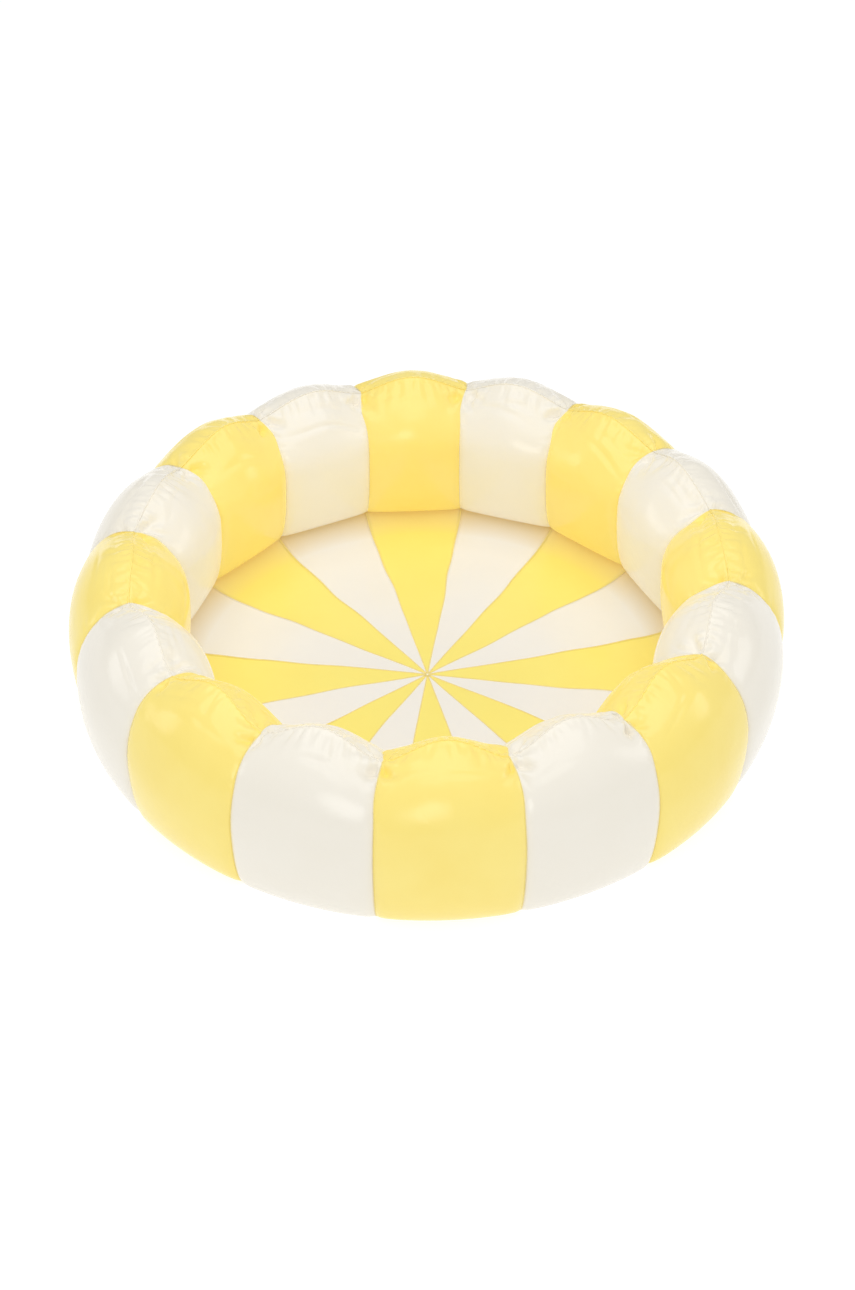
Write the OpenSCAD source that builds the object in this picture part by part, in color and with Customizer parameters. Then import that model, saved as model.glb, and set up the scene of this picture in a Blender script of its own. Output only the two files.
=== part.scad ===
// Round inflatable paddling pool: one tall air ring made of pillow-like panels, a welded
// sector floor, radial webs inside the ring, and a push-in air valve on the outer wall.
// Millimetres, +Z up. The origin is on the ground, under the middle of the floor.

/* [Pool] */
// Diameter over the outer wall, measured where two panels meet
seam_diameter = 1466; // [1200:2:2000]
// Height of the crown seam where two panels meet
seam_height = 328; // [290:1:420]
// Height of the crown seam in the middle of a panel
crown_height = 370; // [300:1:480]
// Thickness of the welded film
film = 0.5; // [0.3:0.1:1]

/* [Air ring] */
// Width of the ring where two panels meet
ring_width = 206; // [180:1:260]
// How far the crown seam lies inside the outer wall
crown_inset = 115; // [90:1:125]
// How much further in the crown seam lies in the middle of a panel
crown_sway = 18; // [0:1:30]
// How far the outer foot lies inside the outer wall
outer_foot_inset = 34; // [5:1:60]
// How far the inner foot lies outside the inner wall
inner_foot_inset = 50; // [5:1:60]
// Height of the inner foot above the ground, held up by the air in the ring
inner_foot_lift = 26; // [5:1:40]
// How far from the inner foot the floor film comes down to the ground, on either side
ramp_width = 65; // [40:1:80]
// Extra bulge of the outer wall in the middle of a panel
outer_bulge = 17; // [0:1:40]
// Extra bulge of the inner wall in the middle of a panel
inner_bulge = 22; // [0:1:40]
// Height at which the outer wall is widest
outer_waist = 160; // [140:1:220]
// Height at which the inner wall is widest
inner_waist = 222; // [140:1:230]

/* [Air webs] */
// Diameter of the air holes in each web
air_hole_d = 44; // [20:1:60]
// Height of the lower air hole
lower_hole_z = 105; // [90:1:120]
// Height of the upper air hole
upper_hole_z = 225; // [190:1:230]

/* [Valve] */
// Diameter of the flange welded into the outer wall
flange_d = 44; // [40:1:60]
// Outer diameter of the stem
stem_d = 18; // [16:0.5:20]
// Bore of the stem
stem_bore_d = 9; // [8:0.5:10]
// Length of the stem behind its lip
stem_length = 25; // [20:1:40]
// Diameter of the stem's lip
lip_d = 24; // [23:0.5:26]
// Diameter of the plug's cap
cap_d = 19; // [18:0.5:20]

/* [Hidden] */
panel_count = 16;
half_angle = 180 / panel_count;

// Radii of the ring's walls, crown seam and feet, where two panels meet
outer_seam_r = seam_diameter / 2;
inner_seam_r = outer_seam_r - ring_width;
crown_r = outer_seam_r - crown_inset;
outer_foot_r = outer_seam_r - outer_foot_inset;
inner_foot_r = inner_seam_r + inner_foot_inset;

// How round the section and the panels are: 2 is an ellipse, more is squarer
section_power = 2.1;
bulge_power = 2.1;
scallop_power = 1.5;
ramp_power = 1.7;

// How pointed the section is at the crown, in the middle of a panel and at its seams:
// 1 is round and 2 is a ridge
outer_pinch = 1.1;
inner_pinch = 1.9;
outer_seam_pinch = 1;
inner_seam_pinch = 1.35;

// Facets of one wall panel, across and down, and steps in the floor's ramps
across_steps = 6;
down_steps = 14;
ramp_steps = 6;

// Clearances
web_gap = 0.1;
body_gap = 0.3;
running_gap = 0.1;

// The valve, from the film outwards along its own axis
valve_r = outer_seam_r + outer_bulge;
flange_out = 0.8;
flange_in = 1.8;
collar_wall = 2.5;
collar_length = 14;
lip_thickness = 2;
flap_thickness = 0.8;
flap_d = 12.4;
cap_thickness = 1.8;
plug_length = 6;
strap_width = 6;
strap_thickness = 1.4;
strap_roll_r = 1;
flap_roll_r = 0.6;
flap_hinge_offset = 7.4;
tab_length = 5;
tab_width = 7;
lug_width = 7;
lip_top = flange_out + body_gap + lip_thickness;
cap_bottom = lip_top + body_gap;
strap_hinge_offset = lip_d / 2 + 1.6;
strap_hinge_z = cap_bottom + strap_roll_r;
plug_sweep_r = strap_hinge_offset + stem_bore_d / 2 - running_gap;
stem_bottom = lip_top - lip_thickness - stem_length;
flap_hinge_z = stem_bottom - body_gap - flap_roll_r;

yellow = "#f8e27a";
cream = "#f3eddd";
clear_pvc = "#f4efe0";

function two_digits(i) = str(i < 10 ? "0" : "", i);
function numbered(name) = [for (i = [1:panel_count]) str(name, "_", two_digits(i))];

// Compass angle of panel i's middle: panel 1 is centred on +Y and they run clockwise
function panel_angle(i) = -2 * half_angle * (i - 1);
function panel_color(i) = i % 2 == 1 ? yellow : cream;

// u runs from -1 to 1 across a panel: 0 is its middle, the ends are its seams
function bulge(u) = 1 - pow(abs(u), bulge_power);
function scallop(u) = pow(cos(90 * u), scallop_power);
function chord(u) = cos(half_angle) / cos(half_angle * u);
function crown_z(u) = seam_height + (crown_height - seam_height) * scallop(u);
function crown_out(u) = crown_r - crown_sway * scallop(u);

// side is 1 on the outer wall and -1 on the inner wall
function waist_r(side, u) = side > 0
    ? outer_seam_r + outer_bulge * bulge(u)
    : inner_seam_r * chord(u) - inner_bulge * bulge(u);
function waist_z(side) = side > 0 ? outer_waist : inner_waist;
function foot_r(side, u) = side > 0 ? outer_foot_r : inner_foot_r * chord(u);
function foot_z(side) = side > 0 ? film : film + inner_foot_lift;
function middle_pinch(side) = side > 0 ? outer_pinch : inner_pinch;
function seam_pinch(side) = side > 0 ? outer_seam_pinch : inner_seam_pinch;
function pinch(side, u) = seam_pinch(side) + (middle_pinch(side) - seam_pinch(side)) * (1 - pow(u, 4));

// Point of a wall's section as [radius, height]: s is 0 at the crown, 1 at the waist, 2 at the foot
function arc_share(a) = pow(a, 2 / section_power);
function section(side, u, s) = s <= 1
    ? [crown_out(u) + (waist_r(side, u) - crown_out(u)) * pow(sin(90 * s), pinch(side, u)),
       waist_z(side) + (crown_z(u) - waist_z(side)) * arc_share(cos(90 * s))]
    : [foot_r(side, u) + (waist_r(side, u) - foot_r(side, u)) * arc_share(cos(90 * (s - 1))),
       waist_z(side) + (foot_z(side) - waist_z(side)) * arc_share(sin(90 * (s - 1)))];

// Direction from the film into the air, square to the section
probe = 0.02;
function into_air(side, u, s) = s <= 0 ? [0, -1] : s >= 2 ? [0, 1]
    : let (d = section(side, u, min(2, s + probe)) - section(side, u, max(0, s - probe)))
        side * [d[1], -d[0]] / norm(d);
function section_inside(side, u, s, depth) = section(side, u, s) + depth * into_air(side, u, s);

// A [radius, height] point turned to its place u across a panel centred on +Y
function on_panel(u, point) = [
    point[0] * sin(half_angle * u),
    point[0] * cos(half_angle * u),
    point[1]
];

// One wall panel as a closed shell: a grid of points outside, the same grid one film inside
module wall_panel(side) {
    across = [for (k = [0:across_steps]) -1 + 2 * k / across_steps];
    down = [for (k = [0:down_steps]) 2 * k / down_steps];
    row = across_steps + 1;
    skin = row * (down_steps + 1);
    points = concat(
        [for (s = down) for (u = across) on_panel(u, section(side, u, s))],
        [for (s = down) for (u = across) on_panel(u, section_inside(side, u, s, film))]
    );
    skins = [
        for (j = [0:down_steps - 1]) for (k = [0:across_steps - 1])
            let (a = j * row + k, b = a + 1, c = a + row, d = c + 1)
            each [[a, b, c], [b, d, c], [skin + a, skin + c, skin + b], [skin + b, skin + c, skin + d]]
    ];
    ends = [
        for (k = [0:across_steps - 1])
            let (a = k, b = k + 1, c = down_steps * row + k, d = c + 1)
            each [[b, a, skin + a], [b, skin + a, skin + b], [c, d, skin + c], [d, skin + d, skin + c]]
    ];
    seams = [
        for (j = [0:down_steps - 1])
            let (a = j * row, b = a + row, c = a + across_steps, d = c + row)
            each [[a, b, skin + a], [b, skin + b, skin + a], [d, c, skin + c], [d, skin + c, skin + d]]
    ];
    faces = concat(skins, ends, seams);
    polyhedron(points, side > 0 ? faces : [for (f = faces) [f[2], f[1], f[0]]]);
}

module outer_panel(i) {
    color(panel_color(i)) rotate([0, 0, panel_angle(i)])
        if (i == 1) difference() {
            wall_panel(1);
            on_valve_axis() translate([0, 0, -flange_d / 2]) cylinder(h = flange_d, d = flange_d, $fn = 64);
        }
        else wall_panel(1);
}

module inner_panel(i) {
    color(panel_color(i)) rotate([0, 0, panel_angle(i)]) wall_panel(-1);
}

// The floor film is flat but for a ridge, level across land, that carries the inner feet
land = [inner_foot_r * cos(half_angle) - 2, inner_foot_r + 2];
function off_land(r) = max(0, land[0] - r, r - land[1]);
function rise(r) = inner_foot_lift * pow(max(0, 1 - off_land(r) / ramp_width), ramp_power);
ramp_up = [for (k = [0:ramp_steps]) land[0] - ramp_width * (1 - k / ramp_steps)];
ramp_down = [for (k = [0:ramp_steps]) land[1] + ramp_width * k / ramp_steps];

module floor_sector(i) {
    radii = concat([0], ramp_up, ramp_down, [outer_foot_r]);
    underside = [for (r = radii) [r, rise(r)]];
    topside = [for (k = [len(radii) - 1:-1:0]) [radii[k], rise(radii[k]) + film]];
    color(panel_color(i)) rotate([0, 0, 90 - half_angle + panel_angle(i)])
        rotate_extrude(angle = 2 * half_angle, $fn = 360) polygon(concat(underside, topside));
}

// One web stands inside the ring at each vertical seam and ties the two walls together
module air_web() {
    outline = concat(
        [for (k = [0:down_steps]) section_inside(1, 1, 2 * k / down_steps, film + web_gap)],
        [for (k = [ramp_steps:-1:0]) [ramp_down[k], rise(ramp_down[k]) + film + web_gap]],
        [for (k = [down_steps:-1:0]) section_inside(-1, 1, 2 * k / down_steps, film + web_gap)]
    );
    hole_r = (outer_seam_r + inner_seam_r) / 2;
    rotate([90, 0, 0]) linear_extrude(film, center = true) difference() {
        polygon(outline);
        for (z = [lower_hole_z, upper_hole_z]) translate([hole_r, z]) circle(d = air_hole_d, $fn = 48);
    }
}

module air_webs(quarter) {
    per_quarter = panel_count / 4;
    color(clear_pvc) for (k = [1:per_quarter])
        rotate([0, 0, 90 + half_angle + panel_angle((quarter - 1) * per_quarter + k)]) air_web();
}

// The valve's own axis: +Z points out of the wall and -Y points up
module on_valve_axis() {
    translate([0, valve_r, outer_waist]) rotate([-90, 0, 0]) children();
}

module tube(d_out, d_in, z_low, z_high) {
    translate([0, 0, z_low]) difference() {
        cylinder(h = z_high - z_low, d = d_out, $fn = 64);
        translate([0, 0, -1]) cylinder(h = z_high - z_low + 2, d = d_in, $fn = 64);
    }
}

module valve_flange() {
    guide_d = stem_d + 2 * running_gap;
    color(clear_pvc) on_valve_axis() union() {
        tube(flange_d, guide_d, -flange_in, flange_out);
        tube(guide_d + 2 * collar_wall, guide_d, -collar_length, -flange_in + 0.01);
    }
}

// Hollow stem, its lip, and a lug that the plug's strap turns over
module valve_stem() {
    lip_bottom = lip_top - lip_thickness;
    color(clear_pvc) on_valve_axis() difference() {
        union() {
            translate([0, 0, stem_bottom]) cylinder(h = lip_top - stem_bottom, d = stem_d, $fn = 64);
            translate([0, 0, lip_bottom]) cylinder(h = lip_thickness, d = lip_d, $fn = 64);
            translate([-lug_width / 2, -strap_hinge_offset - strap_roll_r, lip_bottom])
                cube([lug_width, strap_hinge_offset, lip_thickness]);
        }
        translate([0, 0, stem_bottom - 1])
            cylinder(h = lip_top - stem_bottom + 2, d = stem_bore_d, $fn = 64);
    }
}

// One-way flap behind the stem, hung from its upper edge
module valve_flap() {
    color(clear_pvc) on_valve_axis() union() {
        translate([0, 0, flap_hinge_z - flap_thickness + flap_roll_r])
            cylinder(h = flap_thickness, d = flap_d, $fn = 48);
        translate([-strap_width / 2, -flap_hinge_offset, flap_hinge_z - flap_thickness + flap_roll_r])
            cube([strap_width, flap_hinge_offset, flap_thickness]);
        translate([-strap_width / 2, -flap_hinge_offset, flap_hinge_z])
            rotate([0, 90, 0]) cylinder(h = strap_width, r = flap_roll_r, $fn = 24);
    }
}

// The stub narrows towards its tip, so that it swings out of the bore about the strap
module valve_plug() {
    function stub_r(z) = sqrt(pow(plug_sweep_r, 2) - pow(strap_hinge_z - z, 2)) - strap_hinge_offset;
    stub = [for (k = [0:8]) let (z = cap_bottom - plug_length * k / 8) [stub_r(z) - running_gap, z]];
    color(clear_pvc) on_valve_axis() union() {
        rotate_extrude($fn = 48) polygon(concat(
            [[0, cap_bottom + 0.5], [stub[0][0], cap_bottom + 0.5]],
            stub,
            [[0, cap_bottom - plug_length]]
        ));
        translate([0, 0, cap_bottom]) cylinder(h = cap_thickness, d = cap_d, $fn = 64);
        translate([-tab_width / 2, cap_d / 2 - 1, cap_bottom])
            cube([tab_width, tab_length + 1, strap_thickness]);
    }
}

module valve_strap() {
    color(clear_pvc) on_valve_axis() union() {
        difference() {
            translate([-strap_width / 2, -strap_hinge_offset, strap_hinge_z - strap_thickness / 2])
                cube([strap_width, strap_hinge_offset, strap_thickness]);
            translate([0, 0, cap_bottom - 1]) cylinder(h = cap_thickness + 2, d = cap_d, $fn = 64);
        }
        translate([-strap_width / 2, -strap_hinge_offset, strap_hinge_z])
            rotate([0, 90, 0]) cylinder(h = strap_width, r = strap_roll_r, $fn = 24);
    }
}

for (i = [1:panel_count]) {
    outer_panel(i);
    inner_panel(i);
    floor_sector(i);
}
for (q = [1:4])
    air_webs(q);
valve_flange();
valve_stem();
valve_flap();
valve_plug();
valve_strap();
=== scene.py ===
import math
import random

import bmesh
import bpy
import numpy as np
from mathutils import Matrix, Vector


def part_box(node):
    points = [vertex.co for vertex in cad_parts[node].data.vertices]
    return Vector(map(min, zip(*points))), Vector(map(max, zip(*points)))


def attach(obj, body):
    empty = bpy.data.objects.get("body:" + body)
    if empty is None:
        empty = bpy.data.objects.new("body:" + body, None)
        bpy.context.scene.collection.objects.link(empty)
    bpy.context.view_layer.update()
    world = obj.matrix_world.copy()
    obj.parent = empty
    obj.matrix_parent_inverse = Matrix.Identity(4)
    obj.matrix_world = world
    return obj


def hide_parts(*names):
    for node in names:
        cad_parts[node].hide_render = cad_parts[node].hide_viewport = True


# ---------------------------------------------------------------------------------------------
# The frame, and the pool's dimensions read from it. Metres throughout.
# ---------------------------------------------------------------------------------------------

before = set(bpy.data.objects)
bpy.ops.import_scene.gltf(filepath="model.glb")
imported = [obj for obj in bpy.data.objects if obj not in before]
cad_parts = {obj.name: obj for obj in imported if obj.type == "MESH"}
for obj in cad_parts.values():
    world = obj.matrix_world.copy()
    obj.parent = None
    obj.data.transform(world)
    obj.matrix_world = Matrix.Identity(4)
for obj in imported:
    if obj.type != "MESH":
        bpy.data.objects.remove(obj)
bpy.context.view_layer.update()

PANELS = 16
HALF = math.pi / PANELS  # half of a panel's angle
VALVE_PANEL = 1

# The film's shape, as in the CAD model. How square the wall's section and the bulge across a
# panel are (2 is an ellipse), and how narrow the crown's dome is
SECTION_POWER = 2.1
BULGE_POWER = 2.1
SCALLOP_POWER = 1.5
# How pointed the section is above the waist (1 is an even arch), and how near the seams that
# changes
OUTER_PINCH = 1.1
INNER_PINCH = 1.9
INNER_SEAM_PINCH = 1.35
PINCH_POWER = 4

# How exactly a CAD point has to lie at an angle, and how finely a wall's length is measured
SAME_ANGLE = 1e-4
MEASURING_STEPS = 900

# Each kind of wrinkle draws from seeds of its own, from these on
LOOK_SEED = 11
FIN_SEED = 100
SEAM_SEED = 300
FLOOR_SEED = 500


def outline(name, angle):
    """Radii and heights of the points that lie at an angle from the middle of a panel, which is
    centred on +X."""
    corners = np.array([v.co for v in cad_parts[name].data.vertices])
    off_middle = np.abs(np.arctan2(corners[:, 1], corners[:, 0]))
    chosen = np.abs(off_middle - angle) < SAME_ANGLE
    return np.hypot(corners[chosen, 0], corners[chosen, 1]), corners[chosen, 2]


def read_pool():
    """The ring's dimensions, from the seams and the middles of the two panels centred on +X."""
    outer_r, outer_z = outline("outer_panel_05", HALF)
    inner_r, inner_z = outline("inner_panel_05", HALF)
    middle_r, middle_z = outline("outer_panel_05", 0)
    return {
        "film": outer_z.min(),
        "outer_seam_r": outer_r.max(),
        "inner_seam_r": inner_r.min(),
        "outer_waist": outer_z[outer_r.argmax()],
        "inner_waist": inner_z[inner_r.argmin()],
        "outer_foot_r": outer_r[outer_z.argmin()],
        "inner_foot_r": inner_r[inner_z.argmin()],
        "foot_lift": inner_z.min() - outer_z.min(),
        "crown_seam_r": outer_r[outer_z.argmax()],
        "crown_seam_z": outer_z.max(),
        "crown_middle_r": middle_r[middle_z.argmax()],
        "crown_middle_z": middle_z.max(),
        "outer_middle_r": middle_r.max(),
        "inner_middle_r": outline("inner_panel_05", 0)[0].min(),
    }


POOL = read_pool()
FILM = POOL["film"]
FOOT_LIFT = POOL["foot_lift"]

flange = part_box("valve_flange")
VALVE_Z = (flange[0].z + flange[1].z) / 2
FLANGE_R = (flange[1].z - flange[0].z) / 2


# ---------------------------------------------------------------------------------------------
# The shape of the film. u runs from -1 to 1 across a panel. t is the place down the film:
# 0 at the crown, 1 at the outer waist, 2 at the outer foot, and -1, -2 on the inner wall.
# ---------------------------------------------------------------------------------------------

def bulge(u):
    """The share of its bulge that a panel has at u."""
    return 1 - np.abs(u) ** BULGE_POWER


def scallop(u):
    """The share of its rise that a panel's crown has at u."""
    return np.cos(np.pi / 2 * u) ** SCALLOP_POWER


def chord(u):
    """The radius at u of a straight line between two seams, over the seams' radius."""
    return math.cos(HALF) / np.cos(HALF * u)


def arc_share(a):
    """A quarter circle's sine or cosine, made squarer."""
    return np.clip(a, 0, 1) ** (2 / SECTION_POWER)


def section(u, t, fullness=1.0):
    """Radius and height of the film at u across a panel and t down it."""
    u, t = np.broadcast_arrays(np.asarray(u, float), np.asarray(t, float))
    outer = t >= 0
    s = np.abs(t)
    inner_bulge = POOL["inner_seam_r"] * math.cos(HALF) - POOL["inner_middle_r"]
    outer_bulge = POOL["outer_middle_r"] - POOL["outer_seam_r"]
    waist_r = np.where(
        outer,
        POOL["outer_seam_r"] + fullness * outer_bulge * bulge(u),
        POOL["inner_seam_r"] * chord(u) - fullness * inner_bulge * bulge(u),
    )
    waist_z = np.where(outer, POOL["outer_waist"], POOL["inner_waist"])
    foot_r = np.where(outer, POOL["outer_foot_r"], POOL["inner_foot_r"] * chord(u))
    foot_z = np.where(outer, FILM, FILM + FOOT_LIFT)
    seam_pinch = np.where(outer, 1.0, INNER_SEAM_PINCH)
    middle_pinch = np.where(outer, OUTER_PINCH, INNER_PINCH)
    pinch = seam_pinch + (middle_pinch - seam_pinch) * (1 - np.abs(u) ** PINCH_POWER)
    crown_r = POOL["crown_seam_r"] + (POOL["crown_middle_r"] - POOL["crown_seam_r"]) * scallop(u)
    crown_rise = (POOL["crown_middle_z"] - POOL["crown_seam_z"]) * scallop(u) * fullness
    crown_z = POOL["crown_seam_z"] + crown_rise
    above, below = np.pi / 2 * s, np.pi / 2 * (s - 1)
    radius = np.where(
        s <= 1,
        crown_r + (waist_r - crown_r) * np.clip(np.sin(above), 0, 1) ** pinch,
        foot_r + (waist_r - foot_r) * arc_share(np.cos(below)),
    )
    height = np.where(
        s <= 1,
        waist_z + (crown_z - waist_z) * arc_share(np.cos(above)),
        waist_z + (foot_z - waist_z) * arc_share(np.sin(below)),
    )
    return radius, height


def on_panel(u, radius, height):
    """Points of a panel centred on +Y."""
    return np.stack([radius * np.sin(HALF * u), radius * np.cos(HALF * u), height + 0 * u], axis=-1)


def panel_point(u, t, fullness=1.0):
    """Points of the film on a panel centred on +Y, at u across it and t down it."""
    return on_panel(np.asarray(u, float) + 0 * np.asarray(t, float), *section(u, t, fullness))


def ring_air(u):
    """A point in the air inside the ring, at u across a panel centred on +Y."""
    return on_panel(u, (POOL["outer_seam_r"] + POOL["inner_seam_r"]) / 2, POOL["inner_waist"])


def turned(points, i):
    """The points of a panel centred on +Y, turned to where panel i is."""
    angle = -2 * HALF * (i - 1)
    c, s = math.cos(angle), math.sin(angle)
    return points @ np.array([[c, s, 0], [-s, c, 0], [0, 0, 1]])


def ease(x):
    """A smooth step from 0 to 1, for x from 0 to 1."""
    x = np.clip(x, 0, 1)
    return x * x * (3 - 2 * x)


def even_steps(first, last, band, coarse, fine):
    """Values of t from first to last whose points are a coarse cell apart down the middle of a
    panel, and a fine one apart in the band next to the crown."""
    t = np.linspace(first, last, MEASURING_STEPS)
    points = panel_point(0.0 * t, t)
    along = np.concatenate([[0], np.cumsum(np.linalg.norm(np.diff(points, axis=0), axis=1))])
    from_crown = np.abs(along - along[np.abs(t).argmin()])
    cell = fine + (coarse - fine) * np.clip((from_crown - band) / band, 0, 1)
    cells = np.concatenate([[0], np.cumsum(np.diff(along) / cell[1:])])
    count = round(cells[-1])
    return np.interp(np.linspace(0, cells[-1], count + 1), cells, t)


# ---------------------------------------------------------------------------------------------
# Meshes
# ---------------------------------------------------------------------------------------------

DOWNWARD = np.array([0.0, 0.0, -1.0])


def grid_normals(grid, behind):
    """The grid's normals at its points. behind is a point or a grid of points on its back."""
    by_row, by_column = np.gradient(grid, axis=0), np.gradient(grid, axis=1)
    normals = np.cross(by_row, by_column)
    normals = normals / np.maximum(np.linalg.norm(normals, axis=2, keepdims=True), 1e-12)
    return -normals if np.sum(normals * (grid - behind)) < 0 else normals


def film_mesh(name, grid, thickness, behind, keep=None):
    """A closed shell: the grid of points is its outer skin, and its inner skin lies thickness
    deeper, towards behind. keep masks the grid's faces."""
    rows, cols = grid.shape[:2]
    normals = grid_normals(grid, behind)
    inner = grid - normals * thickness
    index = np.arange(rows * cols).reshape(rows, cols)
    quads = np.stack([index[:-1, :-1], index[1:, :-1], index[1:, 1:], index[:-1, 1:]], axis=-1)
    quads = quads[keep] if keep is not None else quads.reshape(-1, 4)
    a, b, c = (grid.reshape(-1, 3)[quads[:, k]] for k in (0, 1, 2))
    facing = np.sum(np.cross(b - a, c - a) * normals.reshape(-1, 3)[quads[:, 0]])
    if facing < 0:
        quads = quads[:, ::-1]
    rim = {}
    for quad in quads.tolist():
        for k in range(4):
            start, end = quad[k], quad[(k + 1) % 4]
            if (end, start) in rim:
                del rim[(end, start)]
            else:
                rim[(start, end)] = True
    skin = rows * cols
    faces = quads.tolist() + (quads[:, ::-1] + skin).tolist()
    faces += [(end, start, start + skin, end + skin) for start, end in rim]
    mesh = bpy.data.meshes.new(name)
    points = np.concatenate([grid.reshape(-1, 3), inner.reshape(-1, 3)])
    mesh.from_pydata(points.tolist(), [], faces)
    if keep is not None:
        remove_loose(mesh)
    smooth = np.ones(len(mesh.polygons), bool)
    smooth[2 * len(quads):] = False
    mesh.polygons.foreach_set("use_smooth", smooth)
    piece = bpy.data.objects.new(name, mesh)
    bpy.context.scene.collection.objects.link(piece)
    return piece


def remove_loose(mesh):
    work = bmesh.new()
    work.from_mesh(mesh)
    bmesh.ops.delete(work, geom=[v for v in work.verts if not v.link_faces], context="VERTS")
    work.to_mesh(mesh)
    work.free()


# ---------------------------------------------------------------------------------------------
# Materials
# ---------------------------------------------------------------------------------------------

# The radii between which a film's glow changes, and between which the floor's colour and glow turn
# to the painted shadow at its inner foot
WALL_FADE = (POOL["crown_middle_r"], POOL["outer_seam_r"])
FLOOR_SHADOW_FADE = (0.86 * POOL["inner_foot_r"], POOL["inner_foot_r"])

FILM_IOR = 1.45

# The colour sockets of a Mix node, by number, because its other kinds have sockets of these names
MIX_A, MIX_B, MIX_RESULT = 6, 7, 2


def node(tree, kind, **settings):
    """A new node. A setting is a socket's value or, where no socket has its name, a property."""
    made = tree.nodes.new(kind)
    for name, value in settings.items():
        if name in made.inputs:
            made.inputs[name].default_value = value
        else:
            setattr(made, name, value)
    return made


def noise(tree, coords, scale, detail=2.0, distortion=0.0):
    made = node(tree, "ShaderNodeTexNoise", Scale=scale, Detail=detail, Distortion=distortion)
    tree.links.new(coords, made.inputs["Vector"])
    return made.outputs["Fac"]


def remap(tree, value, low, high, to_low, to_high):
    made = node(tree, "ShaderNodeMapRange")
    tree.links.new(value, made.inputs["Value"])
    made.inputs["From Min"].default_value = low
    made.inputs["From Max"].default_value = high
    made.inputs["To Min"].default_value = to_low
    made.inputs["To Max"].default_value = to_high
    return made.outputs["Result"]


def mix(tree, share, first, second):
    made = node(tree, "ShaderNodeMix", data_type="RGBA")
    tree.links.new(share, made.inputs["Factor"])
    made.inputs[MIX_A].default_value = (*first, 1)
    made.inputs[MIX_B].default_value = (*second, 1)
    return made


def by_radius(tree, coords, fade, inside, outside):
    """A Mix node whose colour changes from inside to outside between the two radii of fade."""
    place = node(tree, "ShaderNodeSeparateXYZ")
    tree.links.new(coords, place.inputs["Vector"])
    level = node(tree, "ShaderNodeCombineXYZ")
    tree.links.new(place.outputs["X"], level.inputs["X"])
    tree.links.new(place.outputs["Y"], level.inputs["Y"])
    radius = node(tree, "ShaderNodeVectorMath", operation="LENGTH")
    tree.links.new(level.outputs["Vector"], radius.inputs[0])
    share = remap(tree, radius.outputs["Value"], *fade, 0.0, 1.0)
    return mix(tree, share, inside, outside)


def soft_pvc(name, color, deep, gloss=0.19, grain=1.0, glow=None, fade=WALL_FADE, foot=None):
    """Glossy soft PVC film: slight cloudiness in its colour, and a fine uneven gloss. The glow is
    painted light, standing for the studio's light that soaks through thin film: its strength, and
    its colour inside and outside the fade. foot is painted shadow: the film's colour outside the
    fade."""
    material = bpy.data.materials.new(name)
    material.use_nodes = True
    tree = material.node_tree
    shader = tree.nodes["Principled BSDF"]
    coords = node(tree, "ShaderNodeTexCoord").outputs["Object"]
    cloud = remap(tree, noise(tree, coords, scale=9, detail=3), 0.35, 0.7, 0.0, 0.55)
    tint = mix(tree, cloud, color, deep)
    # Painted shadow: outside the fade the colour turns to foot, the shade at the floor's inner foot
    if foot:
        shaded = by_radius(tree, coords, fade, color, foot)
        tree.links.new(tint.outputs[MIX_RESULT], shaded.inputs[MIX_A])
        tint = shaded
    tree.links.new(tint.outputs[MIX_RESULT], shader.inputs["Base Color"])
    smear = noise(tree, coords, scale=30, detail=4, distortion=0.6)
    roughness = remap(tree, smear, 0.3, 0.75, gloss - 0.03, gloss + 0.05)
    tree.links.new(roughness, shader.inputs["Roughness"])
    peel = node(tree, "ShaderNodeBump", Strength=0.18 * grain, Distance=0.0006)
    tree.links.new(noise(tree, coords, scale=140, detail=2), peel.inputs["Height"])
    waves = node(tree, "ShaderNodeBump", Strength=0.35 * grain, Distance=0.002)
    tree.links.new(noise(tree, coords, scale=26, detail=2, distortion=0.4), waves.inputs["Height"])
    tree.links.new(peel.outputs["Normal"], waves.inputs["Normal"])
    tree.links.new(waves.outputs["Normal"], shader.inputs["Normal"])
    shader.inputs["IOR"].default_value = FILM_IOR
    if glow:
        strength, inside, outside = glow
        shader.inputs["Emission Strength"].default_value = strength
        soaked = by_radius(tree, coords, fade, inside, outside)
        tree.links.new(soaked.outputs[MIX_RESULT], shader.inputs["Emission Color"])
    return material


# Film colours, each with the deeper one that it clouds into, and the colours of the films' glow
YELLOW, YELLOW_DEEP = (0.925, 0.755, 0.215), (0.905, 0.710, 0.170)
YELLOW_GLOW, YELLOW_GLOW_OUTSIDE = (1.0, 0.84, 0.28), (0.30, 0.25, 0.08)
CREAM, CREAM_DEEP = (0.825, 0.788, 0.700), (0.810, 0.768, 0.670)
CREAM_GLOW, CREAM_GLOW_OUTSIDE = (1.0, 0.93, 0.80), (0.30, 0.28, 0.24)
OLIVE, OLIVE_DEEP = (0.900, 0.760, 0.330), (0.880, 0.720, 0.280)
PALE_WELD, PALE_WELD_DEEP = (0.920, 0.870, 0.680), (0.900, 0.840, 0.620)
MILK, MILK_DEEP = (0.86, 0.84, 0.76), (0.80, 0.78, 0.69)

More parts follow.
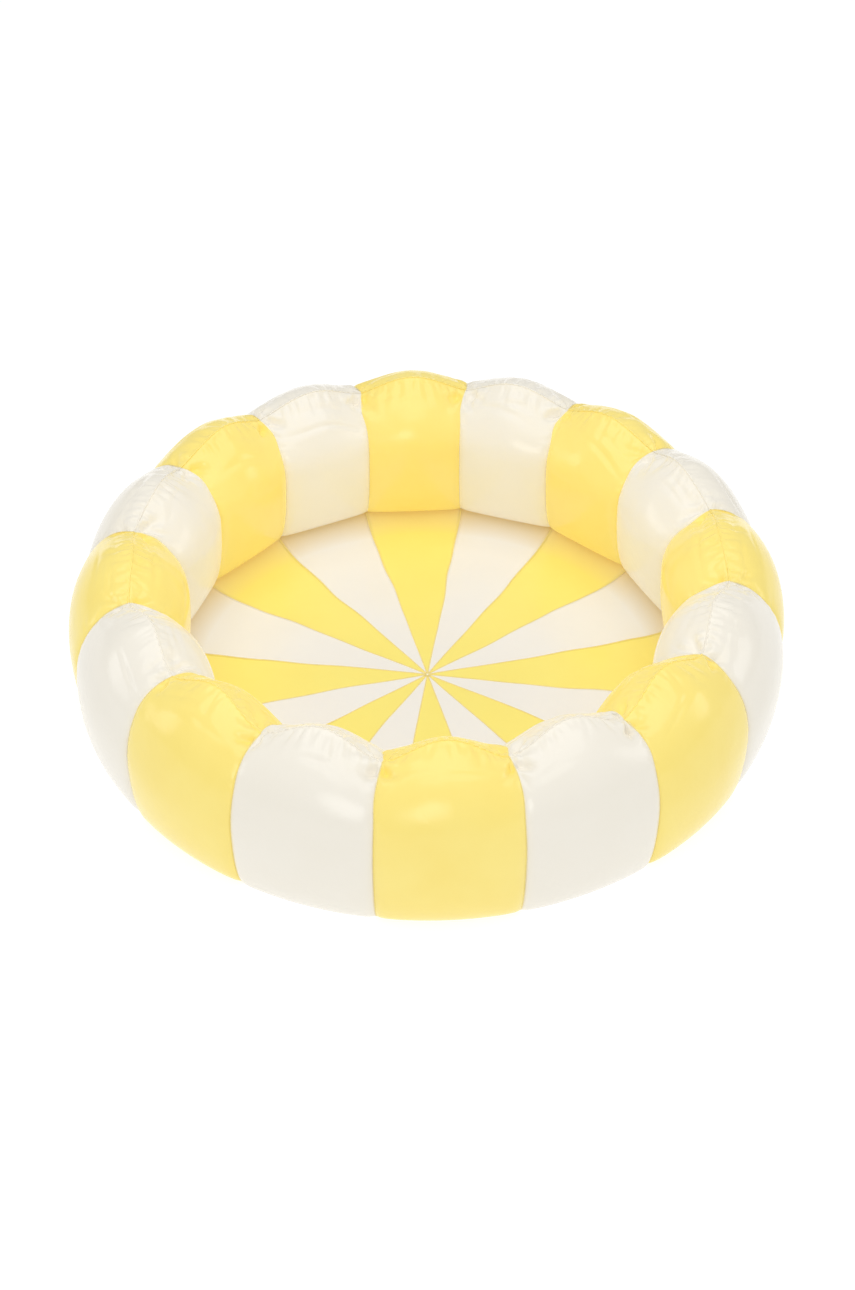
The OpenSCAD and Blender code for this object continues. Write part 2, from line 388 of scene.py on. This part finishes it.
# The floor is a single film on a white ground that shines through it, so it looks a little
# paler: painted light. At its foot its colour and glow are painted shadow, the shade under the
# ring's overhang, browned by light bounced between the walls
FLOOR_YELLOW, FLOOR_YELLOW_DEEP = (0.950, 0.830, 0.215), (0.940, 0.800, 0.190)
FLOOR_YELLOW_FOOT_SHADOW, FLOOR_YELLOW_FOOT_SHADOW_GLOW = (0.920, 0.750, 0.340), (0.70, 0.52, 0.38)
FLOOR_CREAM, FLOOR_CREAM_DEEP = (0.855, 0.840, 0.825), (0.840, 0.820, 0.800)
FLOOR_CREAM_GLOW = (1.0, 0.97, 0.94)
FLOOR_CREAM_FOOT_SHADOW, FLOOR_CREAM_FOOT_SHADOW_GLOW = (0.790, 0.620, 0.300), (0.75, 0.45, 0.10)

yellow_film = soft_pvc(
    "yellow_film", YELLOW, YELLOW_DEEP, glow=(0.17, YELLOW_GLOW, YELLOW_GLOW_OUTSIDE),
)
cream_film = soft_pvc("cream_film", CREAM, CREAM_DEEP, glow=(0.16, CREAM_GLOW, CREAM_GLOW_OUTSIDE))
# Both floor films are painted darker and browner near the inner foot: painted shadow
floor_yellow_film = soft_pvc(
    "floor_yellow_film", FLOOR_YELLOW, FLOOR_YELLOW_DEEP, fade=FLOOR_SHADOW_FADE,
    glow=(0.11, YELLOW_GLOW, FLOOR_YELLOW_FOOT_SHADOW_GLOW), foot=FLOOR_YELLOW_FOOT_SHADOW,
)
floor_cream_film = soft_pvc(
    "floor_cream_film", FLOOR_CREAM, FLOOR_CREAM_DEEP, fade=FLOOR_SHADOW_FADE,
    glow=(0.12, FLOOR_CREAM_GLOW, FLOOR_CREAM_FOOT_SHADOW_GLOW), foot=FLOOR_CREAM_FOOT_SHADOW,
)
weld_film = soft_pvc("weld_film", OLIVE, OLIVE_DEEP, glow=(0.10, YELLOW_GLOW, YELLOW_GLOW_OUTSIDE))
pale_weld_film = soft_pvc(
    "pale_weld_film", PALE_WELD, PALE_WELD_DEEP, glow=(0.10, CREAM_GLOW, CREAM_GLOW_OUTSIDE),
)
milky_pvc = soft_pvc("milky_pvc", MILK, MILK_DEEP, gloss=0.32, grain=0.5)


def finish_piece(piece, material, replaced=None):
    piece.data.materials.append(material)
    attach(piece, "pool")
    if replaced:
        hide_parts(replaced)


def film_of(i):
    return (yellow_film, "film_yellow") if i % 2 else (cream_film, "film_cream")


def floor_film_of(i):
    return (floor_yellow_film, "film_yellow") if i % 2 else (floor_cream_film, "film_cream")


# ---------------------------------------------------------------------------------------------
# Camera, light and floor
# ---------------------------------------------------------------------------------------------

scene = bpy.context.scene
scene.view_settings.view_transform = "Standard"

# The camera as fitted to the photo: angles in degrees, lens and sensor in millimetres
CAMERA_AZIMUTH = -3.32
CAMERA_ELEVATION = 41.32
CAMERA_PITCH = 0.81
CAMERA_DISTANCE = 6.40 * POOL["outer_seam_r"]
CAMERA_LENS = 60.67
CAMERA_SENSOR = 36

WORLD_STRENGTH = 0.50
STUDIO_FLOOR_REACH = 90
STUDIO_FLOOR_DROP = 0.0005
STUDIO_FLOOR_GLOW = 0.82


def towards(azimuth, elevation):
    """The direction from the pool at these angles, in degrees. 0, 0 is straight in front."""
    a, e = math.radians(azimuth), math.radians(elevation)
    return Vector((math.sin(a) * math.cos(e), -math.cos(a) * math.cos(e), math.sin(e)))


def place_camera():
    back = towards(CAMERA_AZIMUTH, CAMERA_ELEVATION)
    data = bpy.data.cameras.new("camera")
    data.sensor_width = CAMERA_SENSOR
    data.lens = CAMERA_LENS
    camera = bpy.data.objects.new("camera", data)
    scene.collection.objects.link(camera)
    aim = back.to_track_quat("Z", "Y").to_matrix().to_4x4()
    pitch = Matrix.Rotation(math.radians(CAMERA_PITCH), 4, "X")
    camera.matrix_world = Matrix.Translation(back * CAMERA_DISTANCE) @ aim @ pitch
    scene.camera = camera


def add_lamp(name, direction, distance, size, radiance):
    """A soft oval lamp that faces the middle of the pool, as bright as radiance across its face."""
    data = bpy.data.lights.new(name, "AREA")
    data.shape = "ELLIPSE"
    data.size, data.size_y = size
    data.energy = radiance * math.pi * (math.pi / 4 * size[0] * size[1])
    lamp = bpy.data.objects.new(name, data)
    scene.collection.objects.link(lamp)
    direction = Vector(direction).normalized()
    lamp.location = direction * distance
    lamp.rotation_euler = direction.to_track_quat("Z", "Y").to_euler()


def add_world():
    world = bpy.data.worlds.new("studio")
    world.use_nodes = True
    background = world.node_tree.nodes["Background"]
    background.inputs["Color"].default_value = (1, 1, 1, 1)
    background.inputs["Strength"].default_value = WORLD_STRENGTH
    scene.world = world


def add_studio_floor():
    reach = STUDIO_FLOOR_REACH
    corners = [(-reach, -reach, 0), (reach, -reach, 0), (reach, reach, 0), (-reach, reach, 0)]
    mesh = bpy.data.meshes.new("studio_floor")
    mesh.from_pydata(corners, [], [(0, 1, 2, 3)])
    floor = bpy.data.objects.new("studio_floor", mesh)
    scene.collection.objects.link(floor)
    floor.location.z = -STUDIO_FLOOR_DROP
    material = bpy.data.materials.new("studio_floor")
    material.use_nodes = True
    shader = material.node_tree.nodes["Principled BSDF"]
    shader.inputs["Base Color"].default_value = (0.3, 0.3, 0.3, 1)
    shader.inputs["Roughness"].default_value = 0.9
    shader.inputs["Emission Color"].default_value = (1, 1, 1, 1)
    shader.inputs["Emission Strength"].default_value = STUDIO_FLOOR_GLOW
    mesh.materials.append(material)


place_camera()
add_world()
add_lamp("front_umbrella", towards(-10, 23), distance=4.4, size=(1.7, 1.4), radiance=2.9)
add_lamp("left_umbrella", towards(-94, 18), distance=4.4, size=(1.6, 1.6), radiance=1.9)
add_lamp("right_umbrella", towards(84, 22), distance=4.4, size=(1.6, 1.6), radiance=1.9)
add_lamp("overhead_softbox", (0, -0.2, 1), distance=4.0, size=(5.0, 5.0), radiance=1.18)
add_studio_floor()


# ---------------------------------------------------------------------------------------------
# Wall panels: one sheet of film from the inner foot over the crown to the outer foot, with
# pleats and creases by formula where the film is gathered, then parted at the crown weld
# ---------------------------------------------------------------------------------------------

# How many different sheets there are. The panels repeat them, the second time mirrored
LOOKS = 8

# A sheet's points: how many there are across it, and how far apart they are down it, in a band
# next to the crown and on the body of the wall
COLUMNS = 101
CROWN_CELL = 0.0028
BODY_CELL = 0.0075
CROWN_BAND = 0.085

# Beside its seams the film swells by up to this much, and most of that within this reach of them.
# The swelling starts gently at the crown, and ends in the last share of the way to the foot
SWELL = 0.0075
SWELL_REACH = 0.009
SWELL_FROM_CROWN = 0.02
SWELL_FOOT_SHARE = 0.4

# How far from the seams and from the crown line the pleats have their full depth
PLEATS_FROM_SEAM = 0.006
PLEATS_FROM_CROWN = 0.004

# How far down the upright seams the puckers go
PUCKER_END = 0.30

# The film round the valve is smooth, and passes under the flange's rim
VALVE_CALM = 0.03
VALVE_LAP = 0.001

across = np.linspace(-1, 1, COLUMNS)
inner_rows = even_steps(-2, 0, CROWN_BAND, BODY_CELL, CROWN_CELL)
outer_rows = even_steps(0, 2, CROWN_BAND, BODY_CELL, CROWN_CELL)
down = np.concatenate([inner_rows, outer_rows[1:]])
CROWN_ROW = len(inner_rows) - 1


def smooth_sheet(fullness=1.0):
    return panel_point(across[None, :], down[:, None], fullness)


def on_sheet():
    """For each point of a sheet: how far it lies sideways of the panel's middle, from its
    nearest seam, and from the crown."""
    sheet = smooth_sheet()
    steps = np.linalg.norm(np.diff(sheet, axis=1), axis=2)
    along = np.concatenate([np.zeros((len(down), 1)), np.cumsum(steps, axis=1)], axis=1)
    from_middle = along - along[:, COLUMNS // 2:COLUMNS // 2 + 1]
    from_seam = np.minimum(along, along[:, -1:] - along)
    drops = np.linalg.norm(np.diff(sheet, axis=0), axis=2)
    fall = np.concatenate([np.zeros((1, COLUMNS)), np.cumsum(drops, axis=0)])
    return from_middle, from_seam, np.abs(fall - fall[CROWN_ROW])


FROM_MIDDLE, FROM_SEAM, FROM_CROWN = on_sheet()


def groove(offset, width):
    """The profile of a pleat between two puffed folds: a sharp bottom and round shoulders."""
    bottom = 1 / (1 + (offset / width) ** 2)
    shoulders = 0.35 * np.exp(-((np.abs(offset) / width - 2.4) / 1.3) ** 2)
    return bottom - shoulders


# In the next four functions, x is FROM_MIDDLE and d is FROM_CROWN, on one wall of the sheet


def crown_pleats(rng, x, d):
    """Short pleats square to the crown weld, where its film is gathered."""
    depth = np.zeros_like(x)
    half = x.max()
    place = -half + rng.uniform(0.004, 0.012)
    while place < half:
        middle = 1 - abs(place) / half
        length = rng.uniform(0.020, 0.036) + rng.uniform(0.0, 0.030) * middle ** 2
        strength = rng.uniform(0.0024, 0.0054)
        lean = rng.uniform(-0.16, 0.16) + 1.6 * place
        bend = rng.uniform(-3, 3)
        width = rng.uniform(0.0030, 0.0050) * (1 + d / length)
        line = place + lean * d + bend * d * d
        depth += strength * ease(d / 0.014) * np.exp(-((d / length) ** 2)) * groove(x - line, width)
        place += rng.uniform(0.008, 0.019)
    return depth


def corner_creases(rng, x, d):
    """Longer creases that fan out from the top of each seam towards the middle of the panel."""
    depth = np.zeros_like(x)
    for sign in (-1, 1):
        count = rng.randint(3, 5)
        for k in range(count):
            angle = math.radians(18 + 46 * (k + rng.uniform(0.1, 0.9)) / count)
            length = rng.uniform(0.045, 0.085)
            strength = rng.uniform(0.0045, 0.0090) * math.cos(0.6 * angle)
            width = rng.uniform(0.0038, 0.0065)
            x0, d0 = sign * (x.max() - rng.uniform(0.002, 0.010)), rng.uniform(0.004, 0.016)
            bend = rng.uniform(-2.5, 2.5)
            run = -(x - x0) * sign * math.sin(angle) + (d - d0) * math.cos(angle)
            aside = (x - x0) * sign * math.cos(angle) + (d - d0) * math.sin(angle) + bend * run ** 2
            share = run / length
            window = ease(share / 0.18) * (1 - ease((share - 0.35) / 0.65))
            depth += strength * window * groove(aside, width * (1 + 0.8 * np.clip(share, 0, 1)))
    return depth


def drawn_waves(rng, x, d):
    """A few long, shallow folds that run along the crown, under its pleats."""
    depth = np.zeros_like(x)
    for _ in range(rng.randint(2, 4)):
        x0 = rng.uniform(-0.6, 0.6) * x.max()
        d0 = rng.uniform(0.030, 0.085)
        tilt = rng.uniform(-0.22, 0.22)
        length = rng.uniform(0.030, 0.055)
        width = rng.uniform(0.0045, 0.0080)
        line = d0 + tilt * (x - x0) + rng.uniform(-2, 2) * (x - x0) ** 2
        strength = rng.uniform(0.0010, 0.0026)
        depth += strength * np.exp(-(((x - x0) / length) ** 2)) * groove(d - line, width)
    return depth


def seam_puckers(rng, x, d, from_seam):
    """Small puckers square to the upright seams, strongest in their upper part."""
    depth = np.zeros_like(x)
    for sign in (-1, 1):
        here = np.where(x * sign > 0, 1.0, 0.0)
        place = rng.uniform(0.05, 0.07)
        while place < PUCKER_END:
            length = rng.uniform(0.010, 0.026)
            strength = rng.uniform(0.0006, 0.0016) * (1 - 0.6 * place / PUCKER_END)
            lean = rng.uniform(-0.4, 0.7)
            line = place + lean * from_seam
            fade = ease(from_seam / 0.005) * np.exp(-((from_seam / length) ** 2))
            depth += here * strength * fade * groove(d - line, rng.uniform(0.0035, 0.006))
            place += rng.uniform(0.012, 0.032)
    return depth


def gathered(sheet, seed):
    """The sheet with its pleats, creases and puckers. Its edges and crown line stay in place."""
    rng = random.Random(seed)
    depth = np.zeros(sheet.shape[:2])
    for rows in (slice(0, CROWN_ROW + 1), slice(CROWN_ROW, len(down))):
        x, d, from_seam = FROM_MIDDLE[rows], FROM_CROWN[rows], FROM_SEAM[rows]
        fold = crown_pleats(rng, x, d) + corner_creases(rng, x, d) + drawn_waves(rng, x, d)
        fold = fold + seam_puckers(rng, x, d, from_seam)
        depth[rows] = fold * ease(from_seam / PLEATS_FROM_SEAM) * ease(d / PLEATS_FROM_CROWN)
    from_foot = np.minimum(2 - np.abs(down), 1)[:, None]
    swell = SWELL * (1 - np.exp(-FROM_SEAM / SWELL_REACH) - bulge(across))
    swell = swell * ease(FROM_CROWN / SWELL_FROM_CROWN) * ease(from_foot / SWELL_FOOT_SHARE)
    return sheet + grid_normals(sheet, ring_air(0.0)) * (swell - depth)[:, :, None]


def make_looks():
    """The different sheets. They are also blown up a little more or less than each other."""
    fullness = [1.0 + 0.04 * math.sin(2.4 * k) for k in range(LOOKS)]
    return [gathered(smooth_sheet(fullness[k]), LOOK_SEED + k) for k in range(LOOKS)]


def seam_sway(i, t):
    """How far, in metres, the seam between panels i and i + 1 wanders clockwise. It wanders only
    near the crown, where the two panels push against each other."""
    rng = random.Random(SEAM_SEED + (i - 1) % PANELS)
    side = rng.choice((-1, 1))
    lean = side * rng.uniform(0.002, 0.005)
    swing = -side * rng.uniform(0.004, 0.008)
    s = np.abs(np.asarray(t, float))
    top = np.exp(-((s / 0.14) ** 2))
    under = np.exp(-(((s - 0.42) / 0.17) ** 2))
    return lean * top + np.where(np.asarray(t) < 0, swing, 0.6 * swing) * under


def blended(across_panel, at_left, at_right):
    """A value that a panel has fully at its two seams, and hardly in its middle."""
    right = np.clip(across_panel, 0, 1) ** 3 * at_right
    left = np.clip(-across_panel, 0, 1) ** 3 * at_left
    return left + right


def sideways(points, shift):
    """Points near +Y moved clockwise, seen from above, by shift."""
    angle = shift / np.hypot(points[..., 0], points[..., 1])
    c, s = np.cos(angle), np.sin(angle)
    x, y = points[..., 0], points[..., 1]
    return np.stack([x * c + y * s, y * c - x * s, points[..., 2]], axis=-1)


def panel_sheet(looks, i):
    """Panel i's sheet, centred on +Y. Every second round of looks is mirrored."""
    sheet = looks[(i - 1) % LOOKS]
    if (i - 1) // LOOKS % 2:
        sheet = sheet[:, ::-1] * np.array([-1, 1, 1])
    sway = blended(across, seam_sway(i - 1, down)[:, None], seam_sway(i, down)[:, None])
    return sideways(sheet, sway)


def around_valve(sheet):
    """The valve panel's sheet, smooth round the flange, and which faces of its outer film stay."""
    plain = smooth_sheet()
    off_axis = np.hypot(plain[:, :, 0], plain[:, :, 2] - VALVE_Z)
    on_inner_wall = plain[:, :, 1] <= POOL["crown_seam_r"]
    off_axis = np.where(on_inner_wall, np.inf, off_axis)
    share = ease((off_axis - FLANGE_R) / VALVE_CALM)[:, :, None]
    sheet = plain + (sheet - plain) * share
    inside = off_axis < FLANGE_R - VALVE_LAP
    hole = inside[:-1, :-1] & inside[1:, :-1] & inside[:-1, 1:] & inside[1:, 1:]
    return sheet, ~hole[CROWN_ROW:]


def build_walls():
    looks = make_looks()
    for i in range(1, PANELS + 1):
        sheet, keep = panel_sheet(looks, i), None
        if i == VALVE_PANEL:
            sheet, keep = around_valve(sheet)
        material, slot = film_of(i)
        air = turned(ring_air(0.0), i)
        for side, grid, mask in (
            ("outer", sheet[CROWN_ROW:], keep),
            ("inner", sheet[:CROWN_ROW + 1], None),
        ):
            piece = film_mesh(f"{side}_film_{i:02d}", turned(grid, i), FILM, air, mask)
            finish_piece(piece, material, f"{side}_panel_{i:02d}")
        crown_fin(i, sheet[CROWN_ROW], material)


# ---------------------------------------------------------------------------------------------
# Welds
# ---------------------------------------------------------------------------------------------

# The crown's fin starts below the film, and leans out and ripples towards its top
FIN_ROOT = -0.0006
FIN_HEIGHT = 0.0012
FIN_THICKNESS = 0.0016
FIN_LEAN = 0.0022
FIN_RIPPLE = 0.0012
FIN_RIPPLE_STEP = 1.1  # radians from one column of points to the next

WELD_THICKNESS = 0.0008
WELD_LIFT = 0.0004
SEAM_WELD_WIDTH = 0.0026

# The foot's weld, from under the film to its trimmed edge: how far out and how high it is
FOOT_WELD = ((-0.001, 0.0014), (0.005, 0.0011))
FOOT_WELD_STEPS = 12

FLOOR_WELD_THICKNESS = 0.0007
FLOOR_WELD_WIDTH = 0.0026


def crown_fin(i, crown, material):
    """The trimmed edge of the crown weld, a low fin that stands up from the film and ripples."""
    rng = random.Random(FIN_SEED + i)
    phase = rng.uniform(0, 6.28)
    ripple = FIN_RIPPLE * np.sin(np.arange(COLUMNS) * FIN_RIPPLE_STEP + phase) * (1 - across ** 8)
    outward = on_panel(across, 1.0, 0.0)
    grid = np.stack([
        crown + np.array([0, 0, FIN_ROOT + FIN_HEIGHT * h])
        + outward * (ripple * h + FIN_LEAN * h * h)[:, None]
        for h in (0.0, 0.5, 1.0)
    ])
    behind = turned(grid - outward * 0.01, i)
    piece = film_mesh(f"crown_weld_{i:02d}", turned(grid, i), FIN_THICKNESS, behind)
    finish_piece(piece, material)


def seam_weld(i, side, rows, material):
    """The lapped weld between panels i and i + 1 on one wall, a thin strip in the crease."""
    half_width = SEAM_WELD_WIDTH / 2 / (HALF * POOL["outer_seam_r"])
    columns = np.array([1 - half_width, 1.0, 1 + half_width])
    mirrored = np.where(columns > 1, 2 - columns, columns)
    t = rows[:, None]
    radius, height = section(mirrored, t)
    before_r, before_z = section(mirrored, np.clip(t - 0.01, -2, 2))
    after_r, after_z = section(mirrored, np.clip(t + 0.01, -2, 2))
    run_r, run_z = after_r - before_r, after_z - before_z
    length = np.hypot(run_r, run_z)
    radius = radius - run_z / length * WELD_LIFT
    height = np.maximum(height + run_r / length * WELD_LIFT, FILM)
    strip = on_panel(columns + 0 * radius, radius, height)
    grid = turned(sideways(strip, seam_sway(i, rows)[:, None]), i)
    air = turned(ring_air(1.0), i)
    piece = film_mesh(f"{side}_seam_weld_{i:02d}", grid, WELD_THICKNESS, air)
    finish_piece(piece, material)


def foot_weld(name, side):
    """The flat welded edge where a wall meets the floor, all the way round. side is 1 for the
    outer wall and -1 for the inner one."""
    u = np.linspace(-1, 1, FOOT_WELD_STEPS + 1)[:-1]
    foot_r, _ = section(u, 2.0 * side)
    lift = FOOT_LIFT if side < 0 else 0
    edges = np.stack([on_panel(u, foot_r + side * out, rise + lift) for out, rise in FOOT_WELD])
    grid = np.concatenate([turned(edges, i) for i in range(1, PANELS + 1)], axis=1)
    grid = np.concatenate([grid, grid[:, :1]], axis=1)
    piece = film_mesh(name, grid, WELD_THICKNESS, grid + DOWNWARD)
    finish_piece(piece, weld_film)


# ---------------------------------------------------------------------------------------------
# Floor
# ---------------------------------------------------------------------------------------------

# The ridge under the inner foot: how far it reaches on both sides, and how hollow its slopes are
RAMP = 0.105
RAMP_POWER = 2.2

# The ripples: how high a wave of 1 is, how deep their waves can go, which keeps them off the
# ground, and how near the foot they start to die down
FLOOR_WAVE = 0.0015
FLOOR_WAVE_DEPTH = 2.1
FLOOR_STILL = 0.12

FLOOR_COLUMNS = 25


def floor_height(x, y):
    """Low, slow ripples in the floor film. It rises to the inner foot, and falls again under the
    ring."""
    radius = np.hypot(x, y)
    angle = np.arctan2(x, y)
    u = (angle / HALF + 1) % 2 - 1
    foot = POOL["inner_foot_r"] * chord(u)
    fade = np.clip((foot - radius) / FLOOR_STILL, 0, 1)
    slow = np.sin(11 * x + 3) * np.sin(9 * y + 1)
    quick = 0.6 * np.sin(23 * x + 17 * y) + 0.5 * np.sin(31 * y - 12 * x)
    ridge = FOOT_LIFT * np.clip(1 - np.abs(radius - foot) / RAMP, 0, 1) ** RAMP_POWER
    return FILM + ridge + FLOOR_WAVE * fade * (slow + quick + FLOOR_WAVE_DEPTH)


def floor_sway(i, radius):
    """How far the seam between floor sectors i and i + 1 wanders clockwise."""
    rng = random.Random(FLOOR_SEED + (i - 1) % PANELS)
    share = radius / POOL["inner_foot_r"]
    window = np.clip(1 - np.abs(share - 0.6) / 0.4, 0, 1)
    long_wave = rng.choice((-1, 1)) * 0.0032 * np.sin(2 * np.pi * (1.1 * share + rng.random()))
    short_wave = 0.0016 * np.sin(2 * np.pi * (3.7 * share + rng.random()))
    return window * (long_wave + short_wave)


def build_floor():
    # The share of the way to the inner foot, and above 1 of the way from it to the outer foot
    to_foot = np.concatenate([[0.002], np.linspace(0.0145, 1, 69)])
    share = np.concatenate([to_foot, 1 + np.linspace(0.02, 1, 16)])[:, None]
    u = np.linspace(-1, 1, FLOOR_COLUMNS)
    foot = POOL["inner_foot_r"] * chord(u)
    under_ring = foot + (share - 1) * (POOL["outer_foot_r"] - foot)
    radii = np.where(share <= 1, share * foot, under_ring)
    flat = on_panel(u + 0 * radii, radii, 0.0)
    for i in range(1, PANELS + 1):
        sway = blended(u, floor_sway(i - 1, radii), floor_sway(i, radii))
        grid = turned(sideways(flat, sway), i)
        grid[:, :, 2] = floor_height(grid[:, :, 0], grid[:, :, 1])
        material, slot = floor_film_of(i)
        piece = film_mesh(f"floor_film_{i:02d}", grid, FILM, grid + DOWNWARD)
        finish_piece(piece, material, f"floor_sector_{i:02d}")
        floor_weld(i)


def floor_weld(i):
    """The weld between floor sectors i and i + 1."""
    run = np.linspace(0.004, POOL["inner_foot_r"] - 0.002, 70)[:, None]
    side = np.array([-1, 0, 1]) * FLOOR_WELD_WIDTH / 2
    x = run * math.sin(HALF) + side * math.cos(HALF)
    y = run * math.cos(HALF) - side * math.sin(HALF)
    grid = turned(sideways(np.stack([x, y, 0 * x], axis=-1), floor_sway(i, run)), i)
    grid[:, :, 2] = floor_height(grid[:, :, 0], grid[:, :, 1]) + WELD_LIFT
    piece = film_mesh(f"floor_weld_{i:02d}", grid, FLOOR_WELD_THICKNESS, grid + DOWNWARD)
    finish_piece(piece, weld_film)


build_walls()
for i in range(1, PANELS + 1):
    seam_weld(i, "outer", outer_rows, weld_film)
    seam_weld(i, "inner", inner_rows, pale_weld_film)
foot_weld("outer_foot_weld", 1)
foot_weld("inner_foot_weld", -1)
build_floor()

# ---------------------------------------------------------------------------------------------
# CAD nodes that stay: the valve and the webs
# ---------------------------------------------------------------------------------------------

for name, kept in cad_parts.items():
    if name.startswith(("valve", "air_webs")):
        for k in range(len(kept.material_slots)):
            kept.material_slots[k].material = milky_pvc
